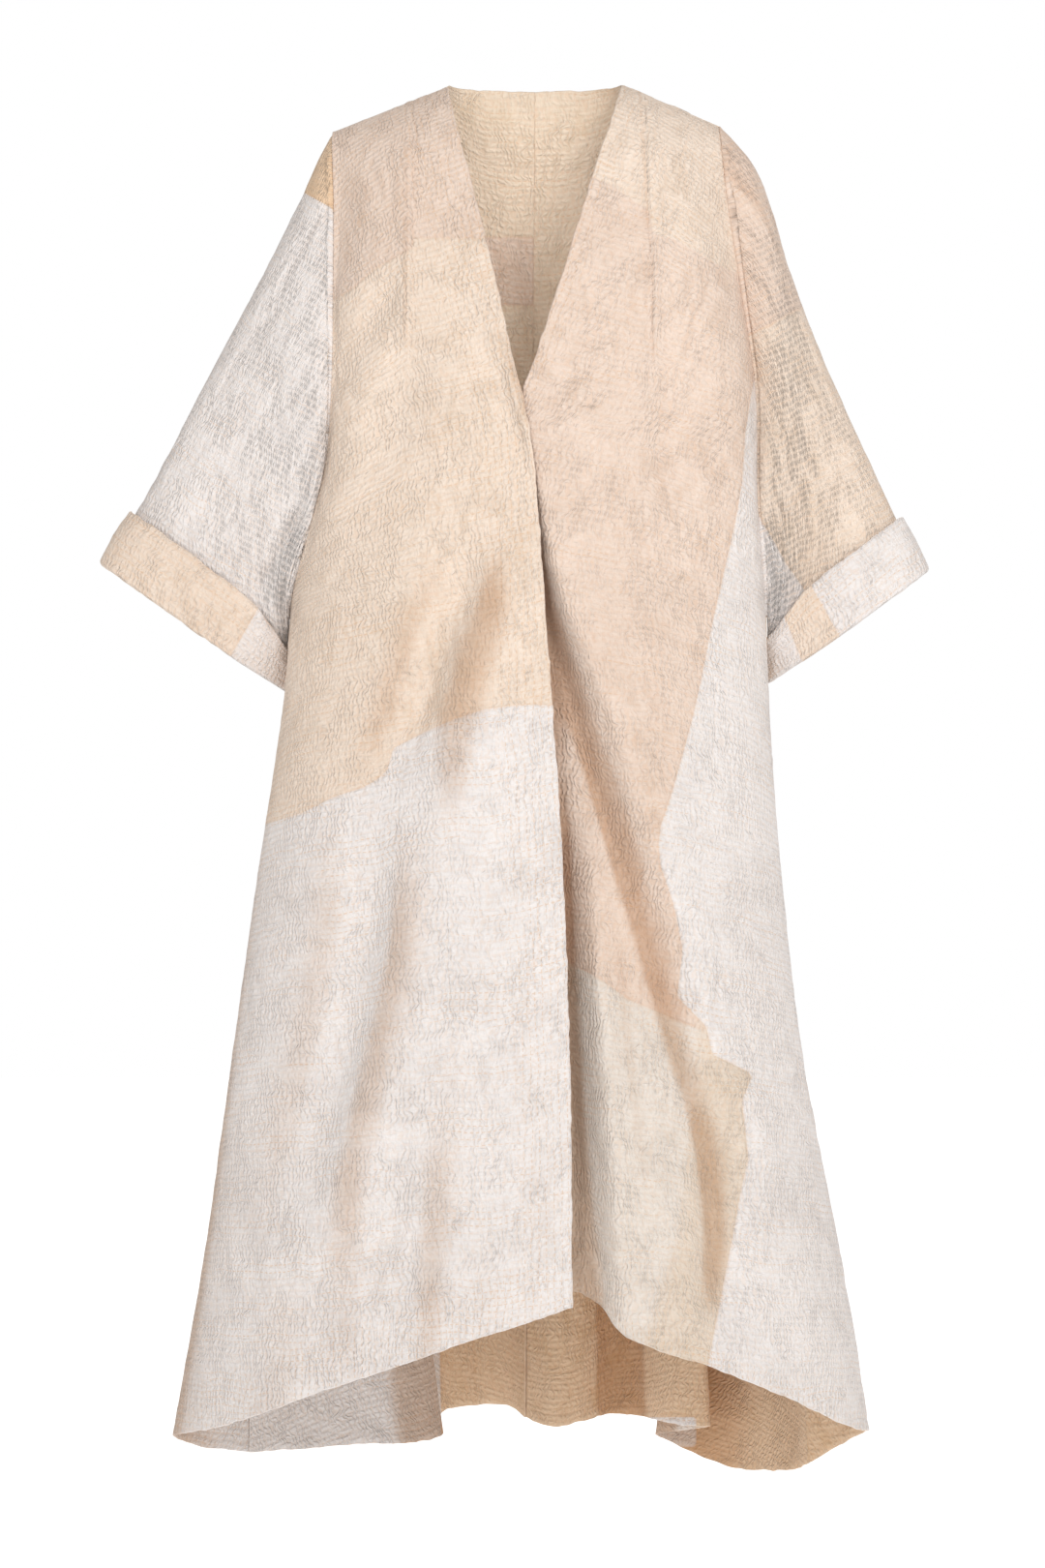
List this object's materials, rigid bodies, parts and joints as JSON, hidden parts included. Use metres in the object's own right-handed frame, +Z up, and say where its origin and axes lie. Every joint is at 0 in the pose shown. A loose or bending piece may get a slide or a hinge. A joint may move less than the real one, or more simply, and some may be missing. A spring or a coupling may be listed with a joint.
{
  "type": "maxi kimono",
  "caption": "Long open-front robe in quilted patchwork cotton with a V neck, wide three-quarter sleeves, turned-up cuffs and a wavy hem longer at the back, filled out as if worn.",
  "frame": {"origin": "midway between the two neck points, on the line of the shoulders, where the garment rests on its wearer", "axes": "+Z up, the wearer faces -Y, +X is the wearer's left, which is the right-hand side seen from the front; left and right in the names are the sides seen from the front"},
  "size_m": [0.7887, 0.3786, 1.3492],
  "materials": {
    "front_left": "matte hand-quilted cotton",
    "front_right": "matte hand-quilted cotton",
    "back_left": "matte hand-quilted cotton",
    "back_right": "matte hand-quilted cotton",
    "sleeve_left": "matte hand-quilted cotton",
    "sleeve_right": "matte hand-quilted cotton",
    "cuff_left": "matte hand-quilted cotton",
    "cuff_right": "matte hand-quilted cotton"
  },
  "bodies": {
    "root": {"front_left": "front_left", "front_right": "front_right", "back_left": "back_left", "back_right": "back_right", "sleeve_left": "sleeve_left", "sleeve_right": "sleeve_right", "cuff_left": "cuff_left", "cuff_right": "cuff_right"}
  },
  "joints": []
}
